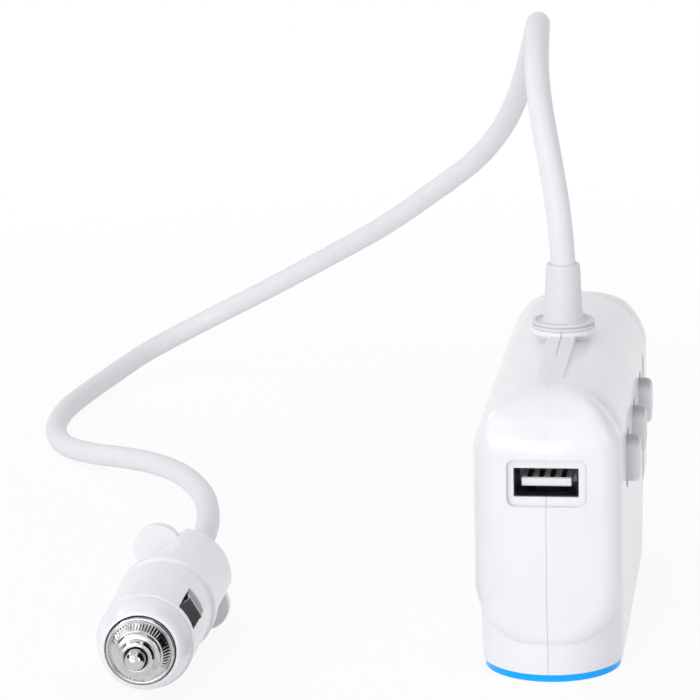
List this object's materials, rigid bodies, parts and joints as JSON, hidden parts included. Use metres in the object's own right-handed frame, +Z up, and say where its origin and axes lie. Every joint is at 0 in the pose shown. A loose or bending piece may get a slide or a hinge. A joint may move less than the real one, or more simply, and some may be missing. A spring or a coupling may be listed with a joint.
{
  "type": "vehicle_power_socket_splitter",
  "caption": "White accessory-socket splitter hub with a blue-rimmed base, frosted push switches on one side, a charging port in the end, a round lead and a fused, sprung plug",
  "frame": {"origin": "middle of the mouth of the middle socket, on the face the hub stands on", "axes": "+X towards the side with the three switches, +Y along the hub away from the charging port, +Z up out of the roof with the lead"},
  "size_m": [0.1617, 0.2937, 0.124],
  "materials": {
    "white_plastic": "moulded, semi-gloss",
    "blue_plastic": "moulded, semi-gloss",
    "plated_steel": "bright nickel plate",
    "black_plastic": "moulded, matt",
    "contact_brass": "bare, slightly dull",
    "frosted_plastic": "translucent, frosted",
    "board_green": "solder mask over glass laminate",
    "white_rubber": "soft, satin",
    "wire_insulation": "red and black vinyl",
    "port_plastic": "moulded, matt",
    "white_vinyl": "soft vinyl jacket, satin",
    "plug_plastic": "moulded, satin",
    "bright_nickel": "turned, polished and plated",
    "fuse_glass": "clear",
    "grey_plastic": "moulded, matt",
    "spring_steel": "drawn wire"
  },
  "bodies": {
    "hub": {"housing_left": "white_plastic", "housing_right": "white_plastic", "base_plate": "blue_plastic", "front_socket_liner": "plated_steel", "middle_socket_liner": "plated_steel", "rear_socket_liner": "plated_steel", "front_socket_cup": "black_plastic", "middle_socket_cup": "black_plastic", "rear_socket_cup": "black_plastic", "front_socket_contact": "contact_brass", "middle_socket_contact": "contact_brass", "rear_socket_contact": "contact_brass", "front_switch_body": "black_plastic", "middle_switch_body": "black_plastic", "rear_switch_body": "black_plastic", "circuit_board": "board_green", "board_parts": "black_plastic", "port_shell": "plated_steel", "port_tongue": "port_plastic", "port_contacts": "contact_brass", "housing_screws": "plated_steel", "lead_guide": "white_rubber", "lead_wires": "wire_insulation", "lead": "white_vinyl", "plug_relief": "white_rubber", "plug_handle": "plug_plastic", "plug_barrel": "plug_plastic", "plug_nose_cap": "plug_plastic", "plug_nose_ring": "bright_nickel", "plug_fuse_tube": "grey_plastic", "plug_spring": "spring_steel", "plug_terminal": "contact_brass"},
    "front_switch": {"front_switch_cap": "frosted_plastic"},
    "middle_switch": {"middle_switch_cap": "frosted_plastic"},
    "rear_switch": {"rear_switch_cap": "frosted_plastic"},
    "centre_pin": {"plug_pin": "bright_nickel", "plug_fuse": "fuse_glass", "fuse_caps": "bright_nickel"},
    "right_contact": {"right_side_contact": "bright_nickel"},
    "left_contact": {"left_side_contact": "bright_nickel"}
  },
  "joints": [
    {"name": "front_switch_press", "type": "slide", "parent": "hub", "child": "front_switch", "axis": [-1, 0, 0], "range_m": [0, 0.0012], "stiffness_N_per_m": 1500},
    {"name": "middle_switch_press", "type": "slide", "parent": "hub", "child": "middle_switch", "axis": [-1, 0, 0], "range_m": [0, 0.0012], "stiffness_N_per_m": 1500},
    {"name": "rear_switch_press", "type": "slide", "parent": "hub", "child": "rear_switch", "axis": [-1, 0, 0], "range_m": [0, 0.0012], "stiffness_N_per_m": 1500},
    {"name": "centre_pin_slide", "type": "slide", "parent": "hub", "child": "centre_pin", "axis": [0, 1, 0], "range_m": [0, 0.0024], "stiffness_N_per_m": 1200, "deforming": ["plug_spring"]},
    {"name": "right_contact_flex", "type": "hinge", "parent": "hub", "child": "right_contact", "pos_m": [-0.07463, -0.0475, 0.01561], "axis": [0.5, 0, -0.866], "range_deg": [0, 6], "stiffness_Nm_per_rad": 0.4},
    {"name": "left_contact_flex", "type": "hinge", "parent": "hub", "child": "left_contact", "pos_m": [-0.08857, -0.0475, 0.00756], "axis": [-0.5, 0, 0.866], "range_deg": [0, 6], "stiffness_Nm_per_rad": 0.4}
  ]
}
